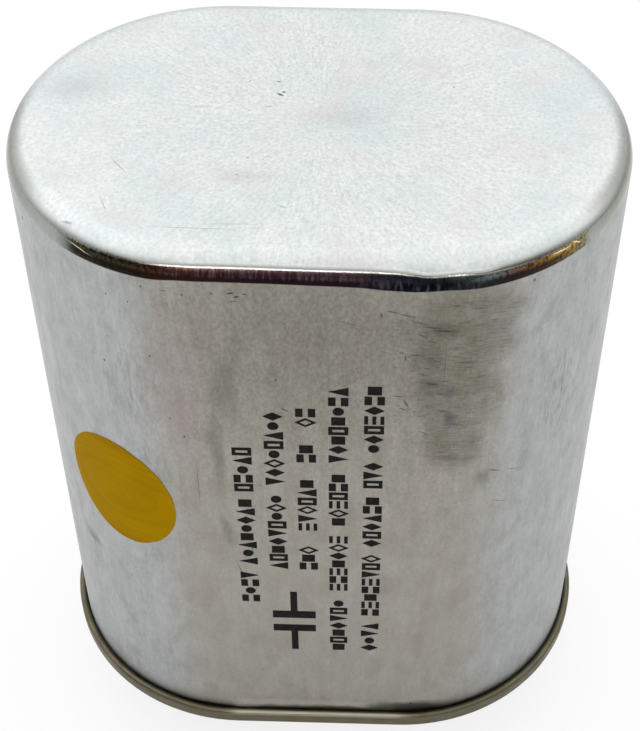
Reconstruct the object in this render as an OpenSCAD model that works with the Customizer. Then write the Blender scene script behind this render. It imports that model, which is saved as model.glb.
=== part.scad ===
// Oval motor run capacitor: a drawn aluminium can, closed end up, with a steel cover
// double-seamed into its open end and two riveted quick-connect terminals under it.
// Origin at the middle of the footprint, on the plane of the blade tips. +Z up, +X along
// the long sides, -Y out of the face that carries the print. All lengths in millimetres.

/* [Can] */
// Length over the drawn wall, along the flat sides
can_length = 71.7; // [62:0.1:90]
// Width over the drawn wall, across the two flat sides
can_width = 49.3; // [40:0.1:56]
// Height from the free edge of the seam to the closed end
can_height = 87; // [60:0.5:120]
// Thickness of the drawn wall
can_wall = 0.4; // [0.3:0.05:0.6]
// Outside radius round the closed end
can_edge_radius = 3.1; // [2:0.1:5]

/* [Dent] */
// Distance of the dent from the middle of the front, along the outline to the right
dent_offset = 12.6; // [-20:0.1:20]
// Length of the dent along the closed end's edge
dent_length = 11; // [8:0.1:14]
// Depth of the dent at its deepest
dent_depth = 0.8; // [0.3:0.1:1.2]
// Slant of the knock, outwards from straight down on the closed end
dent_slant = 35; // [20:1:50]

/* [Double seam] */
// Height of the seam, from its free edge to the top of its fold
seam_height = 2.7; // [2.4:0.1:4]
// Thickness of the cover's sheet
cover_sheet = 0.32; // [0.2:0.02:0.4]
// Play between the folded layers of the seam
seam_play = 0.02; // [0.01:0.01:0.05]
// Room that each hook leaves at the bottom of the fold it enters
hook_end_room = 0.15; // [0.05:0.05:0.3]

/* [Cover] */
// Depth of the cover's panel inside the free edge of the seam
countersink = 4.2; // [3.4:0.1:8]
// Inside radius where the panel turns down into the seam wall
panel_bend = 0.8; // [0.4:0.1:1.5]
// Free space between the rivets' inner ends and the can's contents
headspace = 3; // [1:0.5:8]

/* [Terminal seats] */
// Distance between the two terminals
terminal_spacing = 30; // [24:0.5:34]
// Depth of the drawn seat that holds each gasket
seat_depth = 0.6; // [0.3:0.1:0.9]
// Play round a gasket in its seat
seat_play = 0.15; // [0.05:0.05:0.3]

/* [Gaskets] */
// Diameter of the rubber gasket under each insulator
gasket_diameter = 18; // [15:0.1:20]
// Thickness of the gasket
gasket_thickness = 1.2; // [1:0.1:2]

/* [Outer insulators] */
// Diameter of the moulded insulator
insulator_diameter = 18.6; // [17:0.1:21]
// Height of the insulator, from its gasket to the rim of its key ribs
insulator_height = 5; // [3.5:0.1:8]
// Radius round the insulator's outer rim
insulator_rim_radius = 0.8; // [0.2:0.1:1.2]
// Height of the two ribs that keep the blades from turning
key_height = 0.7; // [0.3:0.1:1.2]
// Play between the ribs and the blade piece
key_play = 0.1; // [0.05:0.05:0.3]
// Diameter of the collar that lines the cover's hole
collar_diameter = 6.6; // [5:0.1:9]
// Play round the collar
collar_play = 0.2; // [0.1:0.05:0.4]

/* [Inner insulators] */
// Diameter of the washer inside the cover
washer_diameter = 13; // [10:0.1:16]
// Thickness of the washer
washer_thickness = 1.6; // [0.8:0.1:3]

/* [Blades] */
// Width of one quick-connect blade
blade_width = 6.35; // [4.75:0.05:6.5]
// Thickness of the blade sheet
blade_sheet = 0.81; // [0.5:0.01:0.9]
// Length of a blade below its plate
blade_length = 9.4; // [8:0.1:12]
// Distance between two blades of one row
blade_gap = 1.5; // [1:0.1:2.5]
// Distance over the outsides of the two rows
row_width = 10; // [9.4:0.1:12]
// Inside radius where a row turns down from the plate
blade_bend = 0.5; // [0.2:0.1:0.8]
// Depth of the web that joins two blades below the plate
blade_web = 1.4; // [0.8:0.1:2.5]
// Length of the slanted corners at a blade's tip
tip_corner = 1.1; // [0.6:0.1:1.8]
// Length of the bevel that thins a blade's tip
tip_bevel = 0.9; // [0.4:0.1:1.5]
// Thickness left at the tip
tip_sheet = 0.35; // [0.2:0.05:0.45]
// Diameter of the catch hole in each blade
catch_hole = 1.7; // [1.2:0.1:2.2]
// Distance of the catch hole from the tip
catch_from_tip = 4; // [3:0.1:5]

/* [Rivets] */
// Diameter of the rivet's shank
rivet_diameter = 3.2; // [2.4:0.1:4]
// Play round the shank
rivet_play = 0.05; // [0.02:0.01:0.1]
// Diameter of the domed head between the two rows of blades
rivet_head_diameter = 6; // [5:0.1:6.4]
// Height of the domed head
rivet_head_height = 1.2; // [0.8:0.1:1.8]
// Diameter of the clinched inner end
clinch_diameter = 5.4; // [4.8:0.1:6.4]
// Height of the clinched inner end
clinch_height = 0.9; // [0.6:0.1:1.5]

/* [Paint dot] */
// Distance of the dot from the middle of the front, along the outline to the left
dot_offset = 25.2; // [10:0.1:40]
// Height of the dot's middle above the free edge of the seam
dot_rise = 45.1; // [20:0.1:48]
// Width of the dot, along the outline
dot_width = 17; // [8:0.1:22]
// Height of the dot
dot_height = 19.2; // [8:0.1:22]
// Thickness of the paint
paint_film = 0.06; // [0.03:0.01:0.15]

/* [Hidden] */
LEFT = -1;
RIGHT = 1;
$fn = 96;
dot_points = 48;
past = 1; // how far a cutting shape runs past the face that it opens

// The can's outline: two half circles joined by two straights
end_radius = can_width / 2;
straight = can_length - can_width;
outline_half = straight / 2;

// Heights, stacked up from the blade tips
plate_z = blade_length;
key_floor_z = plate_z + blade_sheet;
insulator_rim_z = key_floor_z - key_height;
insulator_top_z = insulator_rim_z + insulator_height;
seat_floor_z = insulator_top_z + gasket_thickness;
panel_z = seat_floor_z - seat_depth;
seam_z = panel_z - countersink;
seat_back_z = seat_floor_z + cover_sheet;
washer_top_z = seat_back_z + washer_thickness;
clinch_top_z = washer_top_z + clinch_height;
fill_z = clinch_top_z + headspace;
top_z = seam_z + can_height;

// The seam's layers, counted outwards from the can's wall: the cover's hook, the can's
// hook and the cover's outer wall, with play between them
body_hook_radius = (cover_sheet + 2 * seam_play) / 2;
cover_hook_radius = (can_wall + 2 * seam_play) / 2;
seam_radius = body_hook_radius + can_wall + seam_play;
seam_proud = 2 * cover_sheet + can_wall + 3 * seam_play;
fold_z = seam_z + cover_sheet + seam_radius;
hook_fold_z = seam_z + seam_height - cover_sheet - cover_hook_radius;

// Diameters of the terminals' holes and seats
seat_diameter = gasket_diameter + 2 * seat_play;
collar_hole = collar_diameter + 2 * collar_play;
rivet_hole = rivet_diameter + 2 * rivet_play;
plate_length = 2 * blade_width + blade_gap;

// --- Shared forms -------------------------------------------------------------------

// Turns a half-section, drawn from the axis outwards, into a solid with the can's outline
module oval_form() {
    for (side = [LEFT, RIGHT])
        translate([side * outline_half, 0, 0])
            rotate([0, 0, -90 * side])
                rotate_extrude(angle = 180)
                    children();
    rotate([90, 0, 90])
        linear_extrude(height = straight, center = true) {
            children();
            mirror([1, 0])
                children();
        }
}

// One straight-sided oval prism, grown by grow on every side
module oval_prism(height, grow = 0) {
    linear_extrude(height = height)
        union() {
            square([straight, 2 * (end_radius + grow)], center = true);
            for (side = [LEFT, RIGHT])
                translate([side * outline_half, 0])
                    circle(r = end_radius + grow);
        }
}

// How far the wall has turned from the front, at a distance along the outline
function wall_turn(along) =
    sign(along) * max(0, abs(along) - outline_half) / end_radius * 180 / PI;

// Puts a child on the wall's outside, its -Y axis along the wall's outward normal
module on_wall(along, z) {
    translate([min(max(along, -outline_half), outline_half), 0, z])
        rotate([0, 0, wall_turn(along)])
            translate([0, -end_radius, 0])
                children();
}

// A quarter turn of a bent sheet, about the origin
module quarter_bend(radius, sheet) {
    difference() {
        intersection() {
            circle(r = radius + sheet);
            square(radius + sheet);
        }
        circle(r = radius);
    }
}

// The section of a formed sheet, folded step by step from the origin along +X. A step is
// ["run", length], ["right" or "left", inside radius, quarter turns], or
// ["tip", length, sheet left at its end].
module formed_sheet(steps, sheet, i = 0) {
    if (i < len(steps)) {
        kind = steps[i][0];
        size = steps[i][1];
        if (kind == "run") {
            square([size, sheet]);
            translate([size, 0])
                formed_sheet(steps, sheet, i + 1);
        } else if (kind == "tip") {
            thinned = (sheet - steps[i][2]) / 2;
            polygon([[0, 0], [size, thinned], [size, sheet - thinned], [0, sheet]]);
        } else {
            quarters = steps[i][2];
            way = kind == "right" ? -1 : 1;
            pivot = kind == "right" ? -size : sheet + size;
            for (q = [0 : quarters - 1])
                translate([0, pivot])
                    rotate(way * 90 * q)
                        mirror([0, kind == "right" ? 0 : 1])
                            quarter_bend(size, sheet);
            translate([0, pivot])
                rotate(way * 90 * quarters)
                    translate([0, -pivot])
                        formed_sheet(steps, sheet, i + 1);
        }
    }
}

// Puts a terminal's pieces on its own axis
module at_terminal(side) {
    translate([side * terminal_spacing / 2, 0, 0])
        children();
}

// --- Can and cover ------------------------------------------------------------------

// Half-section of the sealed can with what fills it, and the thin wall and hook below
module can_section() {
    square_top = top_z - can_edge_radius;
    translate([0, fill_z])
        square([end_radius, square_top - fill_z]);
    translate([0, square_top])
        square([end_radius - can_edge_radius, can_edge_radius]);
    translate([end_radius - can_edge_radius, square_top])
        intersection() {
            circle(r = can_edge_radius);
            square(can_edge_radius);
        }
    translate([end_radius - can_wall, fill_z])
        rotate(-90)
            formed_sheet([
                ["run", fill_z - fold_z],
                ["left", body_hook_radius, 2],
                ["run", hook_fold_z - hook_end_room - fold_z]
            ], can_wall);
}

// The shallow dent that a knock left on the closed end's edge
module dent() {
    ball = (pow(dent_length / 2, 2) + pow(dent_depth, 2)) / (2 * dent_depth);
    on_wall(dent_offset, top_z)
        translate([0, can_edge_radius, -can_edge_radius])
            rotate([dent_slant, 0, 0])
                translate([0, 0, can_edge_radius + ball - dent_depth])
                    sphere(r = ball);
}

module can() {
    color("silver")
        difference() {
            oval_form()
                can_section();
            dent();
        }
}

// Half-section of the cover: panel, wall, fold round the can's end, and hook
module cover_section() {
    wall_inside = end_radius - can_wall - seam_play - cover_sheet;
    translate([0, panel_z])
        formed_sheet([
            ["run", wall_inside - panel_bend],
            ["right", panel_bend, 1],
            ["run", panel_z - panel_bend - fold_z],
            ["left", seam_radius, 2],
            ["run", hook_fold_z - fold_z],
            ["left", cover_hook_radius, 2],
            ["run", hook_fold_z - fold_z - hook_end_room]
        ], cover_sheet);
}

module cover() {
    color("darkkhaki")
        difference() {
            union() {
                oval_form()
                    cover_section();
                for (side = [LEFT, RIGHT])
                    at_terminal(side)
                        translate([0, 0, panel_z])
                            cylinder(d = seat_diameter + 2 * cover_sheet,
                                     h = seat_back_z - panel_z);
            }
            for (side = [LEFT, RIGHT])
                at_terminal(side) {
                    translate([0, 0, panel_z - past])
                        cylinder(d = seat_diameter, h = seat_depth + past);
                    translate([0, 0, panel_z])
                        cylinder(d = collar_hole, h = seat_back_z - panel_z + past);
                }
        }
}

// --- Terminals ----------------------------------------------------------------------

module terminal_gasket(side) {
    color("dimgray")
        at_terminal(side)
            translate([0, 0, insulator_top_z])
                difference() {
                    cylinder(d = gasket_diameter, h = gasket_thickness);
                    translate([0, 0, -past])
                        cylinder(d = collar_hole, h = gasket_thickness + 2 * past);
                }
}

// Half-section of the insulator: a disc with a rounded outer rim, and the collar
module insulator_section() {
    radius = insulator_diameter / 2;
    rim = insulator_rim_radius;
    translate([0, rim])
        square([radius, insulator_height - rim]);
    square([radius - rim, rim]);
    translate([radius - rim, rim])
        circle(r = rim);
    translate([0, insulator_height])
        square([collar_diameter / 2, seat_back_z - insulator_top_z]);
}

module terminal_insulator(side) {
    color("saddlebrown")
        at_terminal(side)
            translate([0, 0, insulator_rim_z])
                difference() {
                    rotate_extrude()
                        insulator_section();
                    translate([0, 0, (key_height - past) / 2])
                        cube([insulator_diameter + 2 * past, row_width + 2 * key_play,
                              key_height + past], center = true);
                    translate([0, 0, -past])
                        cylinder(d = rivet_hole,
                                 h = seat_back_z - insulator_rim_z + 2 * past);
                }
}

module terminal_washer(side) {
    color("peru")
        at_terminal(side)
            translate([0, 0, seat_back_z])
                difference() {
                    cylinder(d = washer_diameter, h = washer_thickness);
                    translate([0, 0, -past])
                        cylinder(d = rivet_hole, h = washer_thickness + 2 * past);
                }
}

// Half of the folded strip, seen along the rows: plate, bend and one row of blades
module row_section() {
    translate([0, plate_z])
        formed_sheet([
            ["run", row_width / 2 - blade_sheet - blade_bend],
            ["right", blade_bend, 1],
            ["run", blade_length - blade_bend - tip_bevel],
            ["tip", tip_bevel, tip_sheet]
        ], blade_sheet);
}

// Outline of one row seen square on: the web, and two blades with slanted corners
module row_outline() {
    web_z = plate_z - blade_web;
    translate([-plate_length / 2, web_z])
        square([plate_length, key_floor_z - web_z]);
    for (side = [LEFT, RIGHT])
        translate([side * (blade_width + blade_gap) / 2, 0])
            difference() {
                polygon([
                    [-blade_width / 2, web_z], [-blade_width / 2, tip_corner],
                    [-blade_width / 2 + tip_corner, 0], [blade_width / 2 - tip_corner, 0],
                    [blade_width / 2, tip_corner], [blade_width / 2, web_z]
                ]);
                translate([0, catch_from_tip])
                    circle(d = catch_hole);
            }
}

module terminal_blades(side) {
    color("gold")
        at_terminal(side)
            difference() {
                intersection() {
                    rotate([90, 0, 90])
                        linear_extrude(height = plate_length, center = true) {
                            row_section();
                            mirror([1, 0])
                                row_section();
                        }
                    rotate([90, 0, 0])
                        linear_extrude(height = row_width + 2 * past, center = true)
                            row_outline();
                }
                translate([0, 0, plate_z - past])
                    cylinder(d = rivet_hole, h = blade_sheet + 2 * past);
            }
}

// Half-section of a domed rivet head, its flat side at z = 0
module head_section(diameter, height) {
    dome = (pow(diameter / 2, 2) + pow(height, 2)) / (2 * height);
    intersection() {
        translate([0, height - dome])
            circle(r = dome);
        square([diameter / 2, height]);
    }
}

module terminal_rivet(side) {
    color("lightgray")
        at_terminal(side) {
            translate([0, 0, plate_z])
                mirror([0, 0, 1])
                    rotate_extrude()
                        head_section(rivet_head_diameter, rivet_head_height);
            translate([0, 0, plate_z])
                cylinder(d = rivet_diameter, h = washer_top_z - plate_z);
            translate([0, 0, washer_top_z])
                rotate_extrude()
                    head_section(clinch_diameter, clinch_height);
        }
}

// --- Paint --------------------------------------------------------------------------

module paint_dot() {
    color("goldenrod")
        intersection() {
            translate([0, 0, seam_z])
                difference() {
                    oval_prism(can_height, paint_film);
                    translate([0, 0, -past])
                        oval_prism(can_height + 2 * past);
                }
            on_wall(-dot_offset, seam_z + dot_rise)
                rotate([90, 0, 0])
                    linear_extrude(height = end_radius, center = true)
                        polygon([
                            for (i = [0 : dot_points - 1])
                                let (a = 360 * i / dot_points)
                                    [dot_width / 2 * cos(a), dot_height / 2 * sin(a)]
                        ]);
        }
}

can();
cover();
terminal_gasket(LEFT);  // terminal_gasket_left
terminal_gasket(RIGHT);  // terminal_gasket_right
terminal_insulator(LEFT);  // terminal_insulator_left
terminal_insulator(RIGHT);  // terminal_insulator_right
terminal_washer(LEFT);  // terminal_washer_left
terminal_washer(RIGHT);  // terminal_washer_right
terminal_blades(LEFT);  // terminal_blades_left
terminal_blades(RIGHT);  // terminal_blades_right
terminal_rivet(LEFT);  // terminal_rivet_left
terminal_rivet(RIGHT);  // terminal_rivet_right
paint_dot();
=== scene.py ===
"""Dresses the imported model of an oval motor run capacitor.

The drawn can, its paint dot and its print are modelled here. The steel cover and the
riveted terminals are the frame's own solids, with their finishes.
"""

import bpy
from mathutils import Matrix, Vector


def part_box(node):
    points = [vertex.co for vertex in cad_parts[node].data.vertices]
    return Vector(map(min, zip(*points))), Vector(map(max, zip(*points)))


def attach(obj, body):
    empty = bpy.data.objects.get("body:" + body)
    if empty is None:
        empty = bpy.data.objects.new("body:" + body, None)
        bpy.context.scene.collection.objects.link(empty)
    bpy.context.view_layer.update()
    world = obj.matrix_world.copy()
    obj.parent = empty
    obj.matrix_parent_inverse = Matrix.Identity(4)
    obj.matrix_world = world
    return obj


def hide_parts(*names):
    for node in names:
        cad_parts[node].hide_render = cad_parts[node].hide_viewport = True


bl_info = {
    "name": "Oval Run Capacitor",
    "version": (1, 0, 0),
    "blender": (4, 5, 0),
    "location": "View3D > Sidebar > Capacitor",
    "description": "Drawn can, double-seamed cover, riveted blades, paint dot and print",
    "category": "Object",
}

import math
import random

import bmesh
import bpy
from bpy.props import FloatProperty, FloatVectorProperty, IntProperty, PointerProperty
from mathutils import Matrix, Vector

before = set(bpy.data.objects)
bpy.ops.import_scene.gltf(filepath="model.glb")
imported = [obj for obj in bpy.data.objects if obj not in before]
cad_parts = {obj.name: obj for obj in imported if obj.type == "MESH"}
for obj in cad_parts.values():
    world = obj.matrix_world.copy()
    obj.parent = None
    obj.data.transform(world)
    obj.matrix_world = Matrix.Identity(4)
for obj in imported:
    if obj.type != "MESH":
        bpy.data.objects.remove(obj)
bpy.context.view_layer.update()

MM = 0.001
MERGE = 0.002 * MM  # what lies nearer together than this is one vertex
LIFT = 0.004 * MM  # paint and ink lie this far over the wall, so that the two don't flicker
SHARPEST_SMOOTH = math.radians(35)  # sharper bends are shaded as edges
STRAIGHT_STEPS = 20  # faces along each flat
SKIN = "unwrap"  # the can's UV map, in metres along its skin
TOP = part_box("can")[1].z
COVER_LOW, COVER_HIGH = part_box("cover")
DOT_LOW, DOT_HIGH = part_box("paint_dot")

# The seam's outline gives the oval: two half circles joined by two straights
STRAIGHT_HALF = COVER_HIGH.x - COVER_HIGH.y
SEAM_BOTTOM = COVER_LOW.z


# --- Sizes and colours --------------------------------------------------------------


def linear(hex_colour):
    """Turns an sRGB hex colour into linear red, green, blue and alpha."""
    channels = [int(hex_colour[i : i + 2], 16) / 255 for i in (1, 3, 5)]
    return (*(c / 12.92 if c <= 0.04045 else ((c + 0.055) / 1.055) ** 2.4 for c in channels), 1.0)


def length(name, description, millimetres):
    return FloatProperty(
        name=name, description=description, default=millimetres * MM, unit="LENGTH", precision=5
    )


def colour(name, description, hex_colour):
    return FloatVectorProperty(
        name=name, description=description, default=linear(hex_colour), size=4,
        subtype="COLOR", min=0, max=1,
    )


class CanSettings(bpy.types.PropertyGroup):
    """Sizes and colours of the drawn aluminium can."""

    sheet: length("Sheet", "Thickness of the drawn wall", 0.4)
    edge_radius: length("Edge radius", "Outside radius round the closed end", 3.1)
    seam_proud: length("Seam proud", "How far the seam stands out of the wall", 1.1)
    seam_height: length("Seam height", "From the seam's free edge to the top of its fold", 2.7)
    cover_sheet: length("Cover sheet", "Thickness of the cover's sheet in the seam", 0.32)
    seam_play: length("Seam play", "Play between the folded layers", 0.02)
    fill_height: length("Fill height", "Underside of what fills the can, above the blade tips", 21.53)
    dent_along: length("Dent place", "From the middle of the front, to the right", 14.2)
    dent_depth: length("Dent depth", "How far the knock pushed the edge in", 0.68)
    dent_reach: length("Dent reach", "How far the knock's slope runs", 3.8)
    crease_depth: length("Crease depth", "Swelling that the seaming left on each flat", 0.22)
    turn_steps: IntProperty(
        name="Steps", description="Faces along each round end", default=96, min=16, max=160
    )
    wall_colour: colour("Wall", "Ironed aluminium of the wall", "#B0B3B4")
    end_colour: colour("End", "Unironed, paler closed end", "#D6D9D8")
    edge_colour: colour("Edge", "Burnished edge", "#8E908B")


class PaintSettings(bpy.types.PropertyGroup):
    """Sizes and colours of the paint dot and the print."""

    dot_along: length("Dot place", "From the middle of the front, to the left", 25.2)
    dot_width: length("Dot width", "Across the brush mark, before it wraps round the wall", 16.66)
    film: length("Film", "Thickness of the dot's paint", 0.06)
    dot_colour: colour("Dot", "Ochre-yellow enamel", "#9E7900")
    glyph_height: length("Mark height", "Height of one printed mark", 2.3)
    glyph_width: length("Mark width", "Width of one printed mark", 1.36)
    glyph_gap: length("Mark gap", "Gap between two marks", 0.28)
    stroke: length("Stroke", "Width of an inked stroke", 0.45)
    ink_film: length("Ink film", "Thickness of the ink", 0.03)
    ink_colour: colour("Ink", "Black printing ink", "#101010")


class CoverSettings(bpy.types.PropertyGroup):
    """Colours of the cover and the terminals."""

    steel_colour: colour("Cover", "Dull tin-plated sheet", "#63624F")
    rubber_colour: colour("Gasket", "Black rubber", "#1B1B1A")
    phenolic_colour: colour("Insulator", "Brown phenolic moulding", "#3A2416")
    brass_colour: colour("Blades", "Tin-plated brass", "#D2CBB8")
    rivet_colour: colour("Rivets", "Zinc-plated steel", "#B9BAB6")


class StageSettings(bpy.types.PropertyGroup):
    """Camera and studio."""

    focal: FloatProperty(name="Focal length", description="Lens in millimetres", default=79.41)
    pitch: FloatProperty(
        name="Pitch", description="How far the camera looks down", default=0.8028, subtype="ANGLE"
    )
    yaw: FloatProperty(
        name="Yaw", description="How far the camera turns left", default=0.0241, subtype="ANGLE"
    )
    roll: FloatProperty(name="Roll", description="Tilt of the camera", default=0.0058, subtype="ANGLE")
    place: FloatVectorProperty(
        name="Place", description="Camera's place", default=(0.00721, -0.14754, 0.21048),
        subtype="TRANSLATION",
    )
    floor_colour: colour("Floor", "Pale matt board", "#F7F7F7")


# --- Modelling ----------------------------------------------------------------------


def choose(*pieces):
    """Selects these pieces alone in object mode, the first as the active one."""
    if bpy.context.object and bpy.context.object.mode != "OBJECT":
        bpy.ops.object.mode_set(mode="OBJECT")
    bpy.ops.object.select_all(action="DESELECT")
    for piece in reversed(pieces):
        piece.select_set(True)
        bpy.context.view_layer.objects.active = piece


def start(name, add_primitive, **settings):
    """Adds a primitive, names it and opens it in edit mode with all of it selected."""
    choose()
    add_primitive(**settings)
    piece = bpy.context.object
    piece.name = piece.data.name = name
    bpy.ops.object.mode_set(mode="EDIT")
    bpy.ops.mesh.select_all(action="SELECT")
    return piece


def pick(piece, wanted, kind="verts"):
    """Selects the vertices or edges of the piece in edit mode that wanted() accepts."""
    bpy.ops.mesh.select_mode(type={"verts": "VERT", "edges": "EDGE"}[kind])
    bpy.ops.mesh.select_all(action="DESELECT")
    mesh = bmesh.from_edit_mesh(piece.data)
    for item in getattr(mesh, kind):
        if wanted(item):
            item.select_set(True)
    mesh.select_flush_mode()
    bmesh.update_edit_mesh(piece.data)


def extrude(step):
    """Extrudes what is selected by a step."""
    bpy.ops.mesh.extrude_region_move(TRANSFORM_OT_translate={"value": step})


def turn_about_origin(degrees, axis):
    """Turns what is selected; without a window the centre has to be given."""
    bpy.ops.transform.rotate(
        value=math.radians(degrees), orient_axis=axis, center_override=(0, 0, 0)
    )


def settle(piece):
    """Leaves edit mode, brings the object to the origin and smooths its shading."""
    choose(piece)
    bpy.ops.object.transform_apply(location=True, rotation=True, scale=True)
    bpy.ops.object.shade_smooth_by_angle(angle=SHARPEST_SMOOTH)


def apply_modifier(piece, kind, **settings):
    """Adds a modifier to the active piece with its settings and applies it."""
    modifier = piece.modifiers.new(kind.title(), kind)
    for name, value in settings.items():
        setattr(modifier, name, value)
    bpy.ops.object.modifier_apply(modifier=modifier.name)


def push(value, reach):
    """Moves what is selected and drags what lies within a reach along, on a smooth slope."""
    bpy.ops.transform.translate(
        value=value, use_proportional_edit=True, proportional_edit_falloff="SMOOTH",
        proportional_size=reach,
    )


def thicken(piece, film):
    """Gives a sheet that lies on the wall its thickness, outwards."""
    settle(piece)
    apply_modifier(piece, "SOLIDIFY", thickness=film, offset=1.0)
    settle(piece)


def hand_in(piece, material, slot, *stood_for):
    """Gives a finished piece its material and its body, and hides the nodes it stands for. Its slot is
    not used.
    """
    piece.data.materials.clear()
    piece.data.materials.append(material)
    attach(piece, "root")
    if stood_for:
        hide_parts(*stood_for)


def arc(centre, radius, first, last, steps):
    """Points of an arc in a section, from one angle to another in degrees."""
    turns = [math.radians(first + (last - first) * i / steps) for i in range(steps + 1)]
    return [(centre[0] + radius * math.cos(t), centre[1] + radius * math.sin(t)) for t in turns]


def run(section, far, steps):
    """Goes on from a section's last point to another in a number of equal steps."""
    near = section[-1]
    for i in range(1, steps + 1):
        section.append(tuple(a + (b - a) * i / steps for a, b in zip(near, far)))


def wall_radius(sizes):
    return COVER_HIGH.y - sizes.seam_proud


def can_section(sizes):
    """Half-section of the can, from the middle of its closed end, over the wall and round its hook."""
    radius = wall_radius(sizes)
    shoulder = (radius - sizes.edge_radius, TOP - sizes.edge_radius)
    fold = sizes.cover_sheet / 2 + sizes.seam_play
    seam_radius = fold + sizes.sheet + sizes.seam_play
    fold_z = SEAM_BOTTOM + sizes.cover_sheet + seam_radius
    seam_top = SEAM_BOTTOM + sizes.seam_height
    hook_top = seam_top - sizes.cover_sheet - sizes.sheet
    crease_top = seam_top + 3 * MM  # finer faces up to here carry the swelling
    hook_centre = (radius + fold, fold_z)
    # The last value of each call is how many faces the stretch has
    section = [(0.0, TOP)]
    run(section, (shoulder[0], TOP), 12)
    section += arc(shoulder, sizes.edge_radius, 90, 0, 16)[1:]
    run(section, (radius, crease_top), 40)
    run(section, (radius, seam_top), 12)
    run(section, (radius, fold_z), 2)
    section += arc(hook_centre, fold, 180, 360, 6)[1:]
    section += [(radius + 2 * fold, hook_top), (radius + 2 * fold + sizes.sheet, hook_top)]
    section += arc(hook_centre, fold + sizes.sheet, 0, -180, 8)
    run(section, (radius - sizes.sheet, sizes.fill_height), 4)
    run(section, (0.0, sizes.fill_height), 4)
    return section


def sweep_oval(section, turn_steps):
    """Draws the section from one vertex and sweeps it round the oval."""
    bpy.ops.mesh.merge(type="CENTER")
    bpy.ops.transform.translate(value=(STRAIGHT_HALF, -section[0][0], section[0][1]))
    for near, far in zip(section, section[1:]):
        extrude((0, near[0] - far[0], far[1] - near[1]))
    bpy.ops.mesh.select_all(action="SELECT")
    for side in (1, -1):
        bpy.ops.mesh.spin(
            steps=turn_steps, angle=-math.pi, center=(side * STRAIGHT_HALF, 0, 0), axis=(0, 0, 1)
        )
        for _ in range(STRAIGHT_STEPS):
            extrude((-side * 2 * STRAIGHT_HALF / STRAIGHT_STEPS, 0, 0))
    bpy.ops.mesh.select_all(action="SELECT")
    bpy.ops.mesh.remove_doubles(threshold=MERGE)
    bpy.ops.mesh.normals_make_consistent(inside=False)


def outline_place(x, y, radius):
    """Distance along the outline from the middle of the front, positive to the right."""
    side = 1 if x >= 0 else -1
    past_straight = abs(x) - STRAIGHT_HALF
    if past_straight > 0:
        return side * (STRAIGHT_HALF + radius * math.atan2(past_straight, -y))
    if y <= 0:
        return x
    return side * (2 * STRAIGHT_HALF + math.pi * radius - abs(x))


def unwrap(piece, sizes):
    """UV map in metres: U along the outline, V up the wall, over the edge and in over the end."""
    radius = wall_radius(sizes)
    shoulder_r, shoulder_z = radius - sizes.edge_radius, TOP - sizes.edge_radius
    half_outline = 2 * STRAIGHT_HALF + math.pi * radius
    skin = piece.data.uv_layers.new(name=SKIN)
    vertices = piece.data.vertices
    for face in piece.data.polygons:
        middle = outline_place(face.center.x, face.center.y, radius)
        for corner in face.loop_indices:
            x, y, z = vertices[piece.data.loops[corner].vertex_index].co
            reach = math.hypot(max(abs(x) - STRAIGHT_HALF, 0), y)  # from the line of centres
            u = outline_place(x, y, radius) if reach > MM else middle
            if abs(u - middle) > half_outline:
                u += math.copysign(2 * half_outline, middle)
            v = z
            if z > shoulder_z and reach > shoulder_r:
                v = shoulder_z + sizes.edge_radius * math.atan2(z - shoulder_z, reach - shoulder_r)
            elif z > shoulder_z:
                v = shoulder_z + sizes.edge_radius * math.pi / 2 + shoulder_r - reach
            skin.data[corner].uv = (u, v)


def on_wall(along, z, radius, lift=0.0):
    """Matrix of a place over the wall: its Z axis points out of the wall, its Y axis up."""
    past = max(0.0, abs(along) - STRAIGHT_HALF)
    turn = math.copysign(past / radius, along)
    foot = Vector((max(-STRAIGHT_HALF, min(STRAIGHT_HALF, along)), 0, z))
    face_out = Matrix.Rotation(math.pi / 2, 4, "X")
    out = Matrix.Translation((0, -radius - lift, 0))
    return Matrix.Translation(foot) @ Matrix.Rotation(turn, 4, "Z") @ out @ face_out


# --- Materials ----------------------------------------------------------------------
# Patterns are set out in millimetres, and a mask is a socket whose values run from 0 to 1


def new_material(name, colour_now, metallic, roughness):
    """Starts a Principled material; returns it, its shader and object coordinates in mm."""
    material = bpy.data.materials.new(name)
    material.use_nodes = True
    shader = material.node_tree.nodes["Principled BSDF"]
    shader.inputs["Base Color"].default_value = colour_now
    shader.inputs["Metallic"].default_value = metallic
    shader.inputs["Roughness"].default_value = roughness
    metres = node("TexCoord", tree=material.node_tree, output="Object")
    return material, shader, node("Mapping", {"Vector": metres, "Scale": (1 / MM,) * 3})


def node(kind, links=None, tree=None, output=0, **settings):
    """Adds a node with its settings and returns one of its outputs.

    Each link is a socket to join or a value to set. The first socket among them tells the tree
    where none is given.
    """
    links = links or {}
    tree = tree or next(v.id_data for v in links.values() if isinstance(v, bpy.types.NodeSocket))
    made = tree.nodes.new("ShaderNode" + kind)
    for name, value in settings.items():
        setattr(made, name, value)
    for key, value in links.items():
        if isinstance(value, bpy.types.NodeSocket):
            tree.links.new(value, made.inputs[key])
        else:
            made.inputs[key].default_value = value
    return made.outputs[output]


def feed(shader, made):
    """Joins finished colours, roughness and relief to the shader's sockets, given by name."""
    for name, socket in made.items():
        shader.id_data.links.new(socket, shader.inputs[name])


def noise(where, features_mm, low=0.3, high=0.7, detail=2.0, roughness=0.5):
    """Noise from 0 to 1 whose features have these sizes in millimetres along each axis."""
    scaled = node("Mapping", {"Vector": where, "Scale": tuple(1 / size for size in features_mm)})
    raw = node("TexNoise", {"Vector": scaled, "Scale": 1.0, "Detail": detail, "Roughness": roughness})
    return node("MapRange", {"Value": raw, "From Min": low, "From Max": high})


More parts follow.
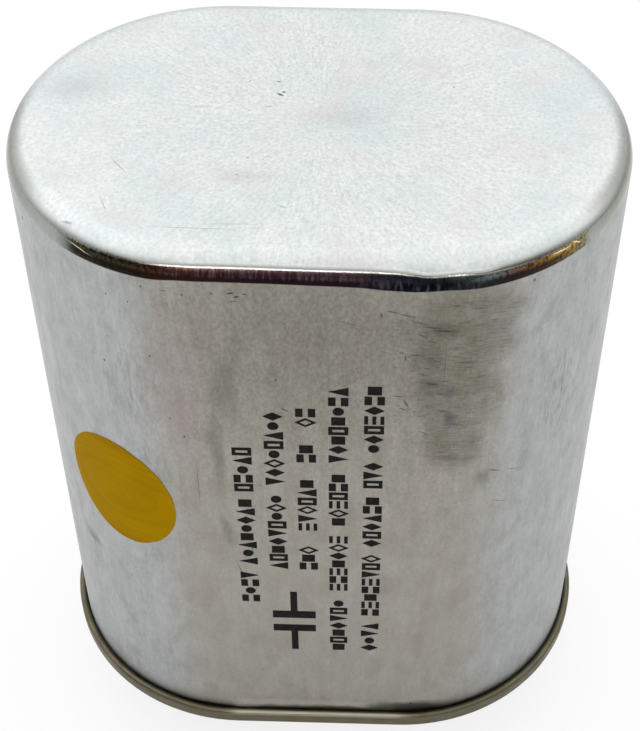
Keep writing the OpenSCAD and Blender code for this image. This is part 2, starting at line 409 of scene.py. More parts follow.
def rise(value, low, high):
    """0 below low and 1 above high, with a smooth step between; the other way if low > high."""
    links = {"Value": value, "From Min": low, "From Max": high}
    return node("MapRange", links, interpolation_type="SMOOTHSTEP")


def fold(operation, masks):
    """Takes masks together two by two, from 0 to 1."""
    together = masks[0]
    for mask in masks[1:]:
        together = node("Math", {0: together, 1: mask}, operation=operation, use_clamp=True)
    return together


def both(*masks):
    """Where all of these masks are, as their product."""
    return fold("MULTIPLY", masks)


def either(*masks):
    """Where any of these masks is."""
    return fold("MAXIMUM", masks)


def layer(under, over, mask, strength=1.0, blend="MIX"):
    """Lays a colour over another through a mask."""
    links = {0: both(mask, strength), 6: under, 7: over}
    return node("Mix", links, output=2, data_type="RGBA", blend_type=blend)


def coats(base, *rows):
    """Lays coats over a base one after another, each a hex colour, its mask and its strength."""
    for hex_colour, mask, strength in rows:
        base = layer(base, linear(hex_colour), mask, strength)
    return base


def patch(where, x, y, half_width, half_height, turn=0.0, *, soft):
    """A soft-edged oval, turned by some degrees: 1 in its middle, 0 from its rim outwards."""
    links = {
        "Vector": where, "Location": (x, y, 0), "Rotation": (0, 0, math.radians(turn)),
        "Scale": (half_width, half_height, 1),
    }
    placed = node("Mapping", links, vector_type="TEXTURE")
    return rise(node("VectorMath", {0: placed}, output="Value", operation="LENGTH"), 1.0, 1.0 - soft)


def marks(where, places, soft=0.8):
    """Small patches, each given by its middle, its half sizes and its turn."""
    union = None
    for place in places:
        mark = patch(where, *place, soft=soft)
        union = either(union, mark) if union else mark
    return union


# Marks on the wall, as place along the front, height, half sizes and turn in degrees
RUBBED = [(17, 88, 8.5, 9.5), (16, 79, 7, 10), (16, 71, 5, 7.5)]
SCORED = [(12, 86, 5, 8), (11.5, 77, 3.5, 6), (14, 71, 4, 5)]
VIOLET = [(15.6, 74.6, 1.5, 2.2), (15.4, 78.8, 1.2, 1.6)]
MURKY = [
    (14.4, 88.8, 4, 1.5, -8), (17, 67.4, 4.4, 0.8, -13), (13.6, 79.8, 2.6, 1.8, -10),
    (12.6, 84, 2.4, 2.6),
]
SMEARS = [
    (-10, 79, 2.8, 8), (-11.2, 69, 1.3, 13), (-10.9, 54, 0.9, 5, 10), (20.2, 62.4, 1.6, 2.2),
]
FAINT = [(-21, 78, 5, 9), (-20, 62, 4, 7), (31, 72, 6, 14)]
# Grime, and painted shade, in the crease just above the seam
SEAM_GRIME_AND_SHADE = [(12, 13.9, 9, 2.3), (2, 13.6, 17, 1.5), (0, 13.5, 40, 0.5)]
WALL_SCRATCHES = [
    (7.6, 90.9, 0.16, 0.7, 10), (8.7, 91.5, 1, 0.15, -12), (10.3, 91, 1.5, 0.13, -16),
    (11.6, 90, 1.3, 0.11, -20), (15.6, 92.2, 1.1, 0.12, -8), (18.2, 91.4, 1.5, 0.1, -12),
    (13.2, 89.2, 1.6, 0.14, -8), (14.4, 88.6, 1.8, 0.2, -10), (12, 88, 0.8, 0.13, -25),
    (11.4, 85, 1.5, 0.12, -3), (10.3, 84.5, 0.16, 0.6), (12.3, 82, 1, 0.12, -20),
    (17, 83.4, 1.6, 0.1, -12), (13.4, 80.4, 1.2, 0.16, -14), (14.3, 78.7, 0.7, 0.16, -8),
    (9.6, 78.4, 0.8, 0.14, -4), (10.6, 77.2, 0.2, 0.9, 25), (10.3, 76.3, 0.7, 0.14, -20),
    (12.4, 75.2, 0.9, 0.1, 4), (14.8, 75.8, 0.9, 0.13, -16), (16.6, 73.2, 1.2, 0.1, -12),
    (12.6, 72.4, 0.7, 0.1, -25), (21.8, 63.5, 1.5, 0.15, -27), (24.6, 62.4, 1.6, 0.07, -24),
    (23, 57.2, 1.6, 0.08, -30), (-3.1, 75.7, 0.7, 0.2, -35), (4.2, 89.6, 2.2, 0.06, -18),
    (-9.2, 44.6, 0.1, 3.6, 14), (-7.8, 50, 0.09, 2.6, 10), (40.5, 80, 0.1, 2.4, 3),
    (-13.8, 62, 0.06, 5), (14.7, 84, 0.045, 4.5), (31, 75, 0.07, 7, 1),
]
WALL_SPECKS = [
    (-8.4, 93.7, 0.6, 0.2, 8), (-7.8, 93.2, 0.5, 0.2, 15), (-6.9, 93.6, 0.4, 0.14, -8),
    (-10.4, 93.6, 0.3, 0.1), (-13.6, 93.2, 0.14, 0.3, 20), (-15.6, 93.5, 0.4, 0.1, 10),
    (-18.1, 93.5, 0.16, 0.2), (-8.2, 92.5, 0.5, 0.09), (-22.6, 90.8, 0.14, 0.25),
    (-19.9, 90.7, 0.13, 0.2), (-37.2, 92.7, 0.3, 0.55, -25), (-24.2, 79.7, 0.2, 0.3),
    (-18, 83, 0.16, 0.24), (-14.9, 70.4, 0.18, 0.26), (-16.4, 73.2, 0.2, 0.14),
    (-4, 80.6, 0.16, 0.26), (24.4, 93.4, 0.2, 0.3), (13, 15.4, 0.3, 0.22, 20),
]
# Marks on the closed end, as place to the right of its middle and behind it, and the same
END_SMUDGES = [(2.5, 0.8, 7, 3), (-28, 5, 7, 4, 10), (-7.5, -10.5, 5, 2)]
END_SCRATCHES = [
    (-21.8, -9, 2.1, 0.11, -52), (-26.2, -18, 1, 0.17, -28), (-3.4, -15.4, 0.9, 0.1, -25),
    (-22.6, -15.6, 1.9, 0.08, -68), (-13.6, 2, 1.8, 0.07), (-6, 2.2, 1.1, 0.07),
    (-12.5, -19.2, 7, 0.07, -1), (-8, -18.4, 4, 0.06, 1),
]
END_SPECKS = [
    (-4.7, 4.5, 0.7, 0.25, -30), (-4.3, 5, 0.3, 0.25), (-5, 7, 0.4, 0.16),
    (-8.4, 7, 0.3, 0.1, 20), (-7.6, -7.2, 0.16, 0.16), (-8.6, -10.2, 0.14, 0.14),
    (15.4, 6.6, 0.16, 0.16), (-5.6, -8.1, 0.12, 0.12),
]
# Glints on the edge, as place along the front, height over the shoulder, and the same
GLINTS = [(28, 1.2, 1.6, 0.12, -4), (30, 0.95, 1, 0.12, -30), (-25.8, 1.05, 2.2, 0.06, -4)]
# Where the band of tarnish and painted reflection on the edge ends above and below, as place
# along the front and height over the shoulder, and its colours along the front
FRONT_REACH = 40.0  # how far these three go, to the left and to the right
TARNISH_AND_REFLECTION_TOP = [
    (-40, 1.6), (-18, 1.75), (-13, 2.0), (0, 1.9), (8, 1.8), (11, 1.55), (13.8, 1.25),
    (15.5, 1.31), (18, 1.27), (23, 1.28), (40, 1.45),
]
TARNISH_AND_REFLECTION_FOOT = [
    (-40, -0.1), (-18, -0.05), (-13, 0.38), (-6, 0.34), (0, 0.2), (5, 0.05), (8, -0.25),
    (14, -0.5), (22, -0.5), (40, -0.3),
]
TARNISH_AND_REFLECTION_COLOURS = [
    (-34, "#6C6E58"), (-28, "#4A4A38"), (-20, "#484434"), (-17, "#704E3C"), (-14, "#865A52"),
    (-8, "#74505A"), (3, "#6C4C5E"), (9, "#3A3A4E"), (14, "#363E4A"), (16, "#68747A"),
    (20, "#646A6A"), (22, "#6E4E4C"), (25, "#86642C"), (29, "#B8924A"), (31.5, "#8C8460"),
]


def over_front(along):
    """A place along the front as a share of the stretch that the tables of tarnish and painted
    reflection cover.
    """
    return node("MapRange", {"Value": along, "From Min": -FRONT_REACH, "From Max": FRONT_REACH})


def height_curve(along, points, low, high):
    """A smooth curve along the front through points; its heights run from low to high."""
    drawn = node("FloatCurve", {"Value": over_front(along)})
    mapping = drawn.node.mapping
    stops = mapping.curves[0].points
    while len(stops) < len(points):
        stops.new(0.5, 0.5)
    for stop, (at, height) in zip(stops, points):
        stop.location = ((at / FRONT_REACH + 1) / 2, (height - low) / (high - low))
    mapping.update()
    return node("MapRange", {"Value": drawn, "To Min": low, "To Max": high})


def tarnish_and_reflection_colour(along):
    """The colours of the tarnish and painted reflection, blended along the front."""
    blended = node("ValToRGB", {0: over_front(along)})
    stops = blended.node.color_ramp.elements
    while len(stops) < len(TARNISH_AND_REFLECTION_COLOURS):
        stops.new(0.5)
    for stop, (at, hex_colour) in zip(stops, TARNISH_AND_REFLECTION_COLOURS):
        stop.position = (at / FRONT_REACH + 1) / 2
        stop.color = linear(hex_colour)
    return blended


class CanSkin:
    """Places on the can's skin in millimetres, and the masks that its finishes share."""

    def __init__(self, mm, sizes):
        self.mm = mm
        metres = node("UVMap", tree=mm.id_data, uv_map=SKIN)
        self.place = node("Mapping", {"Vector": metres, "Scale": (1 / MM,) * 3})
        self.along, self.up, _ = node("SeparateXYZ", {0: self.place}).node.outputs
        ragged = node("TexNoise", {"Vector": mm, "Scale": 0.3, "Detail": 3.0}, output="Color")
        stray = node("VectorMath", {0: ragged, 1: (0.5, 0.5, 0.5)}, operation="SUBTRACT")
        self.torn = self.wander(stray, 5.0)
        self.bent = self.wander(stray, 1.6)
        self.torn_along = node("SeparateXYZ", {0: self.torn})
        self.shoulder = (TOP - sizes.edge_radius) / MM
        self.over_shoulder = node("Math", {0: self.up, 1: self.shoulder}, operation="SUBTRACT")
        self.rim = self.height_over(TARNISH_AND_REFLECTION_TOP, 0.0, 2.5)
        self.foot = self.height_over(TARNISH_AND_REFLECTION_FOOT, -1.0, 1.5)
        self.sides = either(rise(self.along, -13, -17), rise(self.along, 17, 21))
        self.inner = node("Math", {0: 1.0, 1: self.sides}, operation="SUBTRACT")
        aside = node("Math", {0: self.along}, operation="ABSOLUTE")
        # Painted shade near the edge round the ends, standing for darker surroundings reflected there
        round_the_ends = both(rise(aside, 31, 40), rise(aside, 58, 50))
        self.painted_shade_round_ends = both(round_the_ends, rise(self.over_shoulder, 4.2, 2.7))

    def wander(self, stray, reach_mm):
        """The same places made to stray up to half this far, for ragged outlines."""
        links = {0: stray, 1: (reach_mm, reach_mm, 0), 2: self.place}
        return node("VectorMath", links, operation="MULTIPLY_ADD")

    def height_over(self, points, low, high):
        """Height over a curve that is given from the shoulder."""
        curve = height_curve(self.along, points, low, high)
        return node("Math", {0: self.over_shoulder, 1: curve}, operation="SUBTRACT")


def ironed_wall(skin, wall_colour):
    """Upright grain and blotches, cool on the rounds; painted shade makes the front warm and dull."""
    grain = noise(skin.mm, (0.3, 0.3, 1.5), detail=3)
    fine = noise(skin.mm, (0.4, 0.4, 0.6), 0.35, 0.7)
    drawn = noise(skin.mm, (0.9, 0.9, 7), 0.35, 0.65, detail=4)
    blotch = noise(skin.mm, (2.4, 2.4, 5), detail=5, roughness=0.62)
    pink = noise(skin.mm, (4, 4, 9), 0.5, 0.7)
    green = noise(skin.mm, (3, 3, 4), 0.55, 0.72, detail=3)
    tooth = noise(skin.mm, (0.28, 0.28, 0.5), 0.35, 0.65, detail=3)
    front = both(rise(skin.torn_along, -22, -14), rise(skin.torn_along, 27, 17))
    worn = both(front, rise(skin.up, 38, 78))
    wall = coats(
        wall_colour,
        ("#878785", grain, 0.30),
        ("#8A8A88", blotch, 0.28),
        ("#858583", drawn, 0.22),
        ("#C8CACA", fine, 0.18),
        ("#95898C", both(pink, front), 0.35),
        ("#80857C", green, 0.3),
        # Painted shade: the front is dimmed and warmed, and darkened most high in its middle, standing
        # for dark surroundings reflected there
        ("#8F846B", front, 0.42),
        ("#504D43", patch(skin.place, 1, 88, 25, 27, soft=0.95), 0.44),
        ("#5B574D", both(worn, tooth), 0.24),
        ("#C9C5B8", both(worn, fine), 0.16),
        ("#6B675C", both(worn, drawn), 0.14),
    )
    return wall, grain, blotch


def stained(skin, wall):
    """A dark rubbed stain that narrows downwards, smears, fine scratches across, and dirt, with
    painted shade in the crease above the seam.
    """
    level = node("Mapping", {"Vector": skin.place, "Rotation": (0, 0, math.radians(9))})
    rubbed = marks(skin.torn, RUBBED, soft=0.6)
    uneven = noise(level, (4, 1.6, 5), 0.0, 0.5, detail=4)
    clumps = noise(skin.place, (3, 1.5, 1), 0.32, 0.6, detail=3)
    hairs = both(noise(level, (1.7, 0.2, 1), 0.46, 0.66, detail=5), clumps)
    pale_hairs = noise(level, (2.6, 0.2, 1), 0.54, 0.7, detail=3)
    sparse = noise(level, (1.1, 0.28, 1), 0.58, 0.68, detail=5)
    streaky = noise(skin.place, (0.7, 5, 1), 0.05, 0.5, detail=4)
    dashed = noise(skin.place, (0.4, 2.2, 1), 0.46, 0.66, detail=3)
    return coats(
        wall,
        ("#565444", both(rubbed, uneven), 0.46),
        ("#383A2E", both(marks(skin.place, MURKY), uneven), 0.36),
        ("#504C5E", marks(skin.torn, VIOLET), 0.55),
        ("#2A2A24", both(hairs, rubbed), 0.5),
        ("#9C9D8E", both(pale_hairs, rubbed), 0.3),
        ("#26261F", both(sparse, marks(skin.torn, SCORED)), 0.6),
        ("#5A5F56", both(marks(skin.bent, SMEARS, soft=1.0), streaky), 0.48),
        ("#6C7068", both(marks(skin.torn, FAINT), dashed), 0.38),
        ("#A08E98", patch(skin.torn, -15, 76, 4, 18, soft=0.9), 0.28),
        ("#6A6B64", patch(skin.torn, -32, 41, 3, 2, -35, soft=0.8), 0.6),
        ("#2B2A26", marks(skin.place, WALL_SCRATCHES), 0.7),
        ("#201F1C", marks(skin.place, WALL_SPECKS), 0.85),
        ("#3E3D38", noise(skin.mm, (0.5, 0.5, 0.5), 0.76, 0.8, detail=1), 0.5),
        # Grime and painted shade along the crease between the wall and the seam
        ("#1C1B16", marks(skin.bent, SEAM_GRIME_AND_SHADE, soft=0.6), 0.8),
    )


def unironed_end(skin, end_colour):
    """Short bright and dark dashes that run out from the middle, faint tints, a few marks, and painted
    shade near the edge round the ends.
    """
    flat = node("VectorMath", {0: skin.mm, 1: (1, 1, 0)}, operation="MULTIPLY")
    centred = node("VectorMath", {0: flat, 1: (0, 1, 0)}, operation="ADD")
    spoke = node("VectorMath", {0: centred}, operation="NORMALIZE")
    reach = node("VectorMath", {0: centred}, output="Value", operation="LENGTH")
    out = node("CombineXYZ", {2: reach})
    fan = node("VectorMath", {0: spoke, 1: (20, 20, 0), 2: out}, operation="MULTIPLY_ADD")
    dashes = noise(fan, (0.3, 0.3, 1.9), detail=3)
    end = coats(
        end_colour,
        ("#A9B0AE", both(dashes, rise(reach, 42, 8)), 0.56),
        ("#A6ACAA", noise(skin.mm, (0.45, 0.6, 0.6), 0.35, 0.7, detail=4), 0.3),
        ("#F8FAF9", noise(skin.mm, (0.4, 0.4, 0.4)), 0.36),
        ("#B6CAC8", noise(skin.mm, (11, 11, 11), 0.45, 0.75), 0.34),
        ("#D0C4C6", noise(skin.mm, (7, 7, 7), 0.52, 0.75), 0.38),
        ("#A79C9F", marks(flat, END_SMUDGES, soft=1.0), 0.22),
        ("#5A5A58", marks(flat, END_SCRATCHES), 0.5),
        ("#2E2C2C", marks(flat, END_SPECKS), 0.85),
        ("#7C7E72", skin.painted_shade_round_ends, 0.55),
    )
    return end, dashes


def burnished_edge(skin, edge_colour):
    """Grey all round, with a band along the front of tarnish and painted reflection of dark
    surroundings, whose colour runs from olive through maroon and blue-black to brown and gold,
    painted shade round the ends and painted glints."""
    streaks = noise(skin.place, (0.32, 2.2, 1), detail=3)
    combed = noise(skin.place, (0.32, 2.2, 1), 0.46, 0.66, detail=5)
    blued = noise(skin.place, (0.55, 2.2, 1), 0.5, 0.68, detail=4)
    dark_streaks = noise(skin.place, (0.35, 3, 1), 0.5, 0.66, detail=3)
    pitted = noise(skin.place, (0.4, 0.6, 1), 0.45, 0.58, detail=5)
    deep = both(rise(skin.rim, -0.2, -1.1), rise(skin.along, 34, 26))
    lit = both(combed, rise(skin.rim, -1.3, -0.2))
    left_part = both(skin.inner, rise(skin.along, 9, 0))
    knocked = both(skin.inner, rise(skin.along, 3, 10))
    # The band is tarnish with painted reflection of dark surroundings: darker low down, with painted
    # light streaks near its top on the left, a bluish cast right of the middle and dark streaks
    tarnish_and_reflection = coats(
        layer(tarnish_and_reflection_colour(skin.along), linear("#564E4E"), deep, blend="MULTIPLY"),
        ("#C8B8B8", both(lit, left_part), 0.5),
        ("#6A6E76", both(blued, knocked), 0.3),
        ("#17131A", both(dark_streaks, skin.inner), 0.6),
        ("#1D1A12", both(pitted, skin.sides), 0.8),
    )
    frayed = node("Math", {0: streaks, 1: 0.25, 2: skin.rim}, operation="MULTIPLY_ADD")
    stretch = both(rise(skin.torn_along, -31, -26), rise(skin.torn_along, 33.2, 30.8))
    band = both(rise(frayed, 0.16, -0.02), rise(skin.foot, -0.12, 0.08))
    edge = layer(coats(edge_colour, ("#B5B6B0", streaks, 0.25)), tarnish_and_reflection, both(band, stretch))
    glints = [(x, skin.shoulder + height, *rest) for x, height, *rest in GLINTS]
    # Painted shade round the ends, and painted glints
    return coats(edge, ("#6E7062", skin.painted_shade_round_ends, 0.45), ("#FFF2D0", marks(skin.bent, glints), 0.8))


def drawn_aluminium(sizes):
    """Deep-drawn aluminium can.

    The wall was ironed through a die, which leaves a satin skin with fine upright grain. The
    closed end kept its paler sheet finish with grain that runs out from the middle, and the
    edge between them was burnished by the punch and has tarnished along the front. Painted
    light is laid in its colour too: shade on the front of the wall, in the crease over the
    seam and round the ends, dark reflection in the band along the front, and a highlight
    along the band's top.
    """
    material, shader, mm = new_material("Drawn aluminium", sizes.wall_colour, 1.0, 0.45)
    skin = CanSkin(mm, sizes)
    wall, grain, blotch = ironed_wall(skin, sizes.wall_colour)
    end, dashes = unironed_end(skin, sizes.end_colour)
    edge = burnished_edge(skin, sizes.edge_colour)

    # The end meets the band crisply along the front and fades into the edge at its sides
    on_edge = rise(skin.foot, -0.12, 0.12)
    crisp = both(rise(skin.rim, 0.15, 0.7), skin.inner)
    faded = both(rise(skin.rim, -0.1, 1.4), skin.sides)
    on_end = node("Math", {0: crisp, 1: faded}, operation="ADD", use_clamp=True)
    off_end = node("Math", {0: 1.0, 1: on_end}, operation="SUBTRACT")

    # A painted highlight, a bright white line, lies between them. Its masks are multiplied in
    # pairs, because this shader is nearly as much as Cycles takes: with all four made first the
    # can renders black
    painted_highlight_line = both(rise(skin.rim, -0.06, 0.0), rise(skin.rim, 0.15, 0.08))
    painted_highlight_line = both(painted_highlight_line, both(rise(skin.along, -19, -15), rise(skin.along, 25, 20)))
    colour_now = layer(layer(stained(skin, wall), edge, on_edge), end, on_end)

    # Satin wall, polished edge and matt end, with grain some hundredths of a millimetre deep
    # and the slow waves of thin sheet
    wall_rough = node("MapRange", {"Value": blotch, "To Min": 0.40, "To Max": 0.52})
    edge_rough = node("Mix", {0: on_edge, 2: wall_rough, 3: 0.24})
    fine_height = node("Mix", {0: on_end, 2: grain, 3: dashes})
    waves = both(noise(skin.mm, (14, 14, 22), 0.0, 1.0, detail=1), off_end)
    fine = node("Bump", {"Height": fine_height, "Strength": 0.35, "Distance": 0.03 * MM})
    slow = {"Height": waves, "Strength": 1.0, "Distance": 0.35 * MM, "Normal": fine}
    feed(shader, {
        "Base Color": coats(colour_now, ("#FFFFFF", painted_highlight_line, 0.9)),
        "Roughness": node("Mix", {0: on_end, 2: edge_rough, 3: 0.52}),
        "Normal": node("Bump", slow),
    })
    return material


def tinned_steel(colours, seam_top):
    """Tin-plated steel sheet, formed and rolled: dull olive grey, with a painted highlight along the
    seam's crown on the flats.
    """
    material, shader, mm = new_material("Tin-plated steel sheet", colours.steel_colour, 1.0, 0.38)
    across, _, up = node("SeparateXYZ", {0: mm}).node.outputs
    aside = node("Math", {0: across}, operation="ABSOLUTE")
    mottle = noise(mm, (3, 3, 1.2), detail=4)
    crown_mm = seam_top / MM
    # Painted highlight along the seam's crown on the flats, standing for the sky reflected in its roll
    painted_crown_highlight = both(rise(up, crown_mm - 0.6, crown_mm - 0.25), rise(aside, 14.5, 10.5))
    steel = coats(
        colours.steel_colour,
        ("#4C4B3E", mottle, 0.5),
        ("#6A5648", noise(mm, (7, 7, 7), 0.4, 0.65), 0.5),
        ("#86866F", noise(mm, (2.2, 2.2, 0.12), 0.35, 0.7, detail=3), 0.25),
        ("#B4AE9C", both(either(painted_crown_highlight, mottle), painted_crown_highlight), 0.75),
    )
    rough = node("MapRange", {"Value": mottle, "To Min": 0.34, "To Max": 0.5})
    bump = node("Bump", {"Height": mottle, "Strength": 0.5, "Distance": 0.05 * MM})
    feed(shader, {"Base Color": steel, "Roughness": rough, "Normal": bump})
    return material


def black_rubber(colours):
    """Compression-moulded rubber: matt, with a faint dusty bloom."""
    material, shader, mm = new_material("Moulded rubber", colours.rubber_colour, 0.0, 0.75)
    bloom = noise(mm, (1.5, 1.5, 1.5), detail=4)
    feed(shader, {"Base Color": coats(colours.rubber_colour, ("#3A3A38", bloom, 0.5))})
    return material


def brown_phenolic(colours):
    """Compression-moulded phenolic: dark brown, half gloss, with filler flecks."""
    material, shader, mm = new_material("Moulded phenolic", colours.phenolic_colour, 0.0, 0.38)
    flecks = noise(mm, (0.5, 0.5, 0.5), 0.5, 0.75, detail=3)
    flow = noise(mm, (3, 3, 1.5), detail=3)
    brown = coats(colours.phenolic_colour, ("#6A4A30", flecks, 0.45), ("#22150D", flow, 0.35))
    rough = node("MapRange", {"Value": flow, "To Min": 0.32, "To Max": 0.5})
    feed(shader, {"Base Color": brown, "Roughness": rough})
    return material


def tinned_brass(colours):
    """Stamped brass strip, tin-plated: soft warm white with wipe marks along the blades."""
    material, shader, mm = new_material("Tin-plated brass", colours.brass_colour, 1.0, 0.3)
    wiped = noise(mm, (0.3, 0.3, 3), detail=3)
    yellowed = noise(mm, (3, 3, 3), 0.45, 0.7)
    tin = coats(colours.brass_colour, ("#A39B84", wiped, 0.35), ("#C2A45E", yellowed, 0.3))
    rough = node("MapRange", {"Value": wiped, "To Min": 0.24, "To Max": 0.4})
    feed(shader, {"Base Color": tin, "Roughness": rough})
    return material


def plated_rivet(colours):
    """Upset steel rivet, zinc-plated: grey-white with tool marks round the head."""
    material, shader, mm = new_material("Zinc-plated steel", colours.rivet_colour, 1.0, 0.34)
    pressed = noise(mm, (0.9, 0.9, 0.9), detail=4)
    zinc = coats(colours.rivet_colour, ("#85867F", pressed, 0.45))
    bump = node("Bump", {"Height": pressed, "Strength": 0.4, "Distance": 0.04 * MM})
    feed(shader, {"Base Color": zinc, "Normal": bump})
    return material


def yellow_enamel(paints, middle, turn):
    """Ochre-yellow enamel dabbed on by brush: half gloss, with rings left by the brush."""
    material, shader, mm = new_material("Yellow enamel", paints.dot_colour, 0.0, 0.45)
    shader.inputs["IOR"].default_value = 1.04
    links = {"Vector": mm, "Location": tuple(c / MM for c in middle), "Rotation": (0, 0, turn)}
    centred = node("Mapping", links, vector_type="TEXTURE")
    flat = node("VectorMath", {0: centred, 1: (1, 0, 1)}, operation="MULTIPLY")
    reach = node("VectorMath", {0: flat}, output="Value", operation="LENGTH")
    stray = noise(mm, (4, 4, 4), 0.0, 1.0)
    rings_at = node("Math", {0: stray, 1: 1.4, 2: reach}, operation="MULTIPLY_ADD")
    rings = node("TexNoise", {"W": rings_at, "Scale": 1.1, "Detail": 3.0}, noise_dimensions="1D")
    ringed = node("MapRange", {"Value": rings, "From Min": 0.35, "From Max": 0.65})
    enamel = coats(
        paints.dot_colour,
        ("#8A6600", noise(mm, (5, 5, 5), detail=3), 0.4),
        ("#B49200", ringed, 0.22),
        ("#8E5C00", rise(reach, 7.4, 8.6), 0.4),
    )
    bump = node("Bump", {"Height": ringed, "Strength": 0.4, "Distance": 0.05 * MM})
    feed(shader, {"Base Color": enamel, "Normal": bump})
    return material


def printing_ink(paints):
    """Stamped black ink: thin, half matt, with pinholes where the metal shows."""
    material, shader, mm = new_material("Black printing ink", paints.ink_colour, 0.0, 0.6)
    shader.inputs["IOR"].default_value = 1.15
    thin = noise(mm, (0.7, 0.7, 0.7), 0.35, 0.7, detail=3)
    holes = noise(mm, (0.22, 0.22, 0.22), 0.70, 0.76, detail=1)
    ink = coats(paints.ink_colour, ("#242320", thin, 0.5), ("#6E6C66", holes, 0.5))
    feed(shader, {"Base Color": ink})
    return material


# --- Pieces -------------------------------------------------------------------------


class MakeCan(bpy.types.Operator):
    """Draws the can's section, sweeps it round the oval and knocks its dent in"""

    bl_idname = "capacitor.can"
    bl_label = "Can"

    def execute(self, context):
        sizes = context.scene.capacitor_can
        radius = wall_radius(sizes)
        can = start("drawn_can", bpy.ops.mesh.primitive_plane_add, size=MM)
        sweep_oval(can_section(sizes), sizes.turn_steps)
        self.swell_flats(can, sizes, radius)
        self.knock_dent(can, sizes, radius)
        settle(can)
        unwrap(can, sizes)
        hand_in(can, drawn_aluminium(sizes), "drawn_aluminium", "can")
        return {"FINISHED"}

    def swell_flats(self, can, sizes, radius):
        """The seaming rolls left a low ridge on each flat, just above the seam."""
        above_seam, half_band, slope = 0.75 * MM, 0.3 * MM, 1.1 * MM
        ridge = SEAM_BOTTOM + sizes.seam_height + above_seam
        for side in (-1, 1):
            pick(
                can,
                lambda v: abs(v.co.z - ridge) < half_band and abs(v.co.x) < STRAIGHT_HALF
                and abs(v.co.y - side * radius) < 0.1 * MM,
            )
            push((0, side * sizes.crease_depth, 0), slope)

    def knock_dent(self, can, sizes, radius):
        """Pushes the edge down and in round the dent's middle, with a long smooth slope."""
        core = 1.2 * MM
        slant = math.radians(40)  # of the knock, from upright
        at = on_wall(sizes.dent_along, TOP - sizes.edge_radius, radius)
        outwards = at.to_3x3() @ Vector((0, 0, 1))
        away = Vector((0, 0, 1)) * math.cos(slant) + outwards * math.sin(slant)
        middle = at.translation + (away - outwards) * sizes.edge_radius
        pick(can, lambda v: (v.co - middle).length < core)
        push(-away * sizes.dent_depth, sizes.dent_reach)


class MakeCover(bpy.types.Operator):
    """Finishes the frame's double-seamed cover"""

    bl_idname = "capacitor.cover"
    bl_label = "Cover"

    def execute(self, context):
        seam_top = SEAM_BOTTOM + context.scene.capacitor_can.seam_height
        dress("cover", tinned_steel(context.scene.capacitor_cover, seam_top))
        return {"FINISHED"}


class MakeTerminals(bpy.types.Operator):
    """Finishes both terminals: gasket, insulator, washer, blades and rivet"""

    bl_idname = "capacitor.terminals"
    bl_label = "Terminals"

    def execute(self, context):
        colours = context.scene.capacitor_cover
        phenolic = brown_phenolic(colours)
        finishes = {
            "terminal_gasket": black_rubber(colours),
            "terminal_insulator": phenolic,
            "terminal_washer": phenolic,
            "terminal_blades": tinned_brass(colours),
            "terminal_rivet": plated_rivet(colours),
        }
        for part, finish in finishes.items():
            for side in ("left", "right"):
                dress(f"{part}_{side}", finish)
        return {"FINISHED"}


def dress(node_name, material):
    """Gives one of the frame's solids its finish."""
    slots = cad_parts[node_name].data.materials
    slots.clear()
    slots.append(material)


class MakePaintDot(bpy.types.Operator):
    """Dabs the paint dot onto the round of the wall"""

    bl_idname = "capacitor.paint_dot"
    bl_label = "Paint dot"

    def execute(self, context):
        paints = context.scene.capacitor_paint
        sizes = context.scene.capacitor_can
        radius = wall_radius(sizes)
        along, z = -paints.dot_along, (DOT_LOW.z + DOT_HIGH.z) / 2
        half_size = (paints.dot_width / 2, (DOT_HIGH.z - DOT_LOW.z) / 2, 1)
        rings, ring_width, ragged = 9, 0.8 * MM, 0.16 * MM
        dot = start(
            "yellow_paint_dot", bpy.ops.mesh.primitive_circle_add, vertices=96, radius=1,
            fill_type="NGON",
        )
        bpy.ops.transform.resize(value=half_size)
        for _ in range(rings):
            bpy.ops.mesh.inset(thickness=ring_width)
        bpy.ops.mesh.poke()
        pick(dot, lambda v: v.is_boundary)
        bpy.ops.transform.vertex_random(offset=ragged, uniform=1.0, seed=3)
        bpy.ops.mesh.vertices_smooth(factor=0.5, repeat=3)
        choose(dot)
        dot.matrix_world = on_wall(along, z, radius, lift=2 * MM)
        apply_modifier(
            dot, "SHRINKWRAP", target=bpy.data.objects["drawn_can"], wrap_method="PROJECT",
            use_project_z=True, use_negative_direction=True, use_positive_direction=False,
            offset=LIFT,
        )
        thicken(dot, paints.film)
        at = on_wall(along, z, radius)
        enamel = yellow_enamel(paints, at.translation, at.to_euler("ZXY").z)
        hand_in(dot, enamel, "yellow_paint", "paint_dot")
        return {"FINISHED"}


# Each printed line: its place across the front, its foot, how many marks each of its
# groups has and the gap between the groups, in millimetres
PRINT_LINES = [
    (-8.35, 38.7, (4, 8, 5), 1.3),
    (-4.55, 45.8, (9, 8), 1.7),
    (-0.8, 45.8, (3, 6, 2, 2), 3.0),
    (2.95, 28.1, (7, 7, 6, 8), 1.9),
    (7.05, 28.1, (4, 8, 6, 3, 7), 1.5),
]
SYMBOL_ACROSS, SYMBOL_Z = -2.85, 34.6  # the symbol's middle, in the same way


